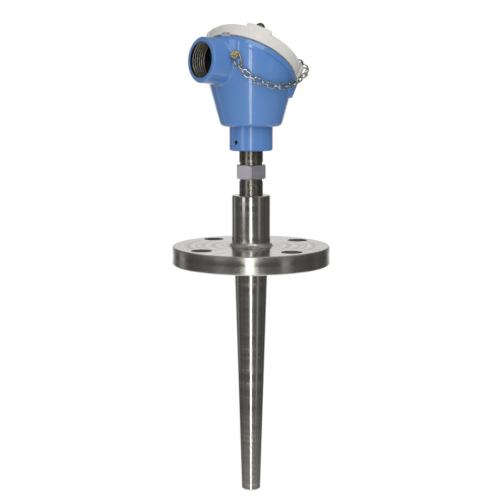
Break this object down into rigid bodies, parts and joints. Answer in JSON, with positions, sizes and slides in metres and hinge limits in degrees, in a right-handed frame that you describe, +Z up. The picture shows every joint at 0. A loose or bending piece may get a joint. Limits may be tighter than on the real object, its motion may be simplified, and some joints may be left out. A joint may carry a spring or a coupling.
{
  "type": "flanged resistance temperature probe with connection head",
  "caption": "Flanged temperature probe: tapered bar thermowell, drilled flange, hex nipple and a blue cast head with a tilted pale lid, a side cable entry and a lid chain.",
  "frame": {"origin": "centre of the flange's raised gasket face, on the probe's axis", "axes": "+Z up along the probe's axis towards the head, -X towards the cable entry, two bolt holes on the X axis"},
  "size_m": [0.14, 0.14, 0.4191],
  "materials": {
    "blue_casting": "glossy blue enamel on cast aluminium",
    "pale_lid": "off-white fine sand-cast coat",
    "turned_steel": "turned stainless steel",
    "nipple_steel": "machined steel, darkened",
    "weld": "weld bead",
    "gasket_rubber": "black rubber",
    "dark_screw": "blackened steel",
    "brass": "brass",
    "chain_steel": "plated steel",
    "zinc_screw": "zinc-plated steel",
    "sheath_steel": "drawn stainless tube",
    "white_ceramic": "unglazed white ceramic",
    "spring_steel": "spring steel",
    "red_insulation": "red lead insulation",
    "white_insulation": "white lead insulation"
  },
  "bodies": {
    "root": {"thermowell": "turned_steel", "flange": "turned_steel", "upper_weld": "weld", "lower_weld": "weld", "hex_nipple": "nipple_steel", "head_body": "blue_casting", "lid_gasket": "gasket_rubber", "boss_grub_screw": "dark_screw", "chain_body_screw": "brass", "chain_hook": "brass", "chain_links": "chain_steel", "insert_screws": "zinc_screw"},
    "lid": {"lid": "pale_lid", "chain_lid_ring": "chain_steel"},
    "cover_screw_front": {"cover_screw_front": "dark_screw"},
    "cover_screw_right": {"cover_screw_right": "dark_screw"},
    "cover_screw_rear": {"cover_screw_rear": "dark_screw"},
    "cover_screw_left": {"cover_screw_left": "dark_screw"},
    "insert": {"insert_sheath": "sheath_steel", "insert_plate": "zinc_screw", "terminal_block": "white_ceramic", "terminal_clamps": "brass", "terminal_screws": "zinc_screw", "block_screws": "zinc_screw", "insert_spring_left": "spring_steel", "insert_spring_right": "spring_steel", "red_lead_wires": "red_insulation", "white_lead_wires": "white_insulation"}
  },
  "joints": [
    {"name": "lid_lift", "type": "slide", "parent": "root", "child": "lid", "axis": [0.5449, 0.1258, 0.829], "range_m": [0, 0.03]},
    {"name": "cover_screw_front_out", "type": "slide", "parent": "lid", "child": "cover_screw_front", "axis": [0.5449, 0.1258, 0.829], "range_m": [0, 0.0065]},
    {"name": "cover_screw_right_out", "type": "slide", "parent": "lid", "child": "cover_screw_right", "axis": [0.5449, 0.1258, 0.829], "range_m": [0, 0.0065]},
    {"name": "cover_screw_rear_out", "type": "slide", "parent": "lid", "child": "cover_screw_rear", "axis": [0.5449, 0.1258, 0.829], "range_m": [0, 0.0065]},
    {"name": "cover_screw_left_out", "type": "slide", "parent": "lid", "child": "cover_screw_left", "axis": [0.5449, 0.1258, 0.829], "range_m": [0, 0.0065]},
    {"name": "insert_travel", "type": "slide", "parent": "root", "child": "insert", "axis": [0, 0, 1], "range_m": [0, 0.006], "stiffness_N_per_m": 2000, "springref_m": -0.004, "deforming": ["insert_spring_left", "insert_spring_right"]}
  ]
}
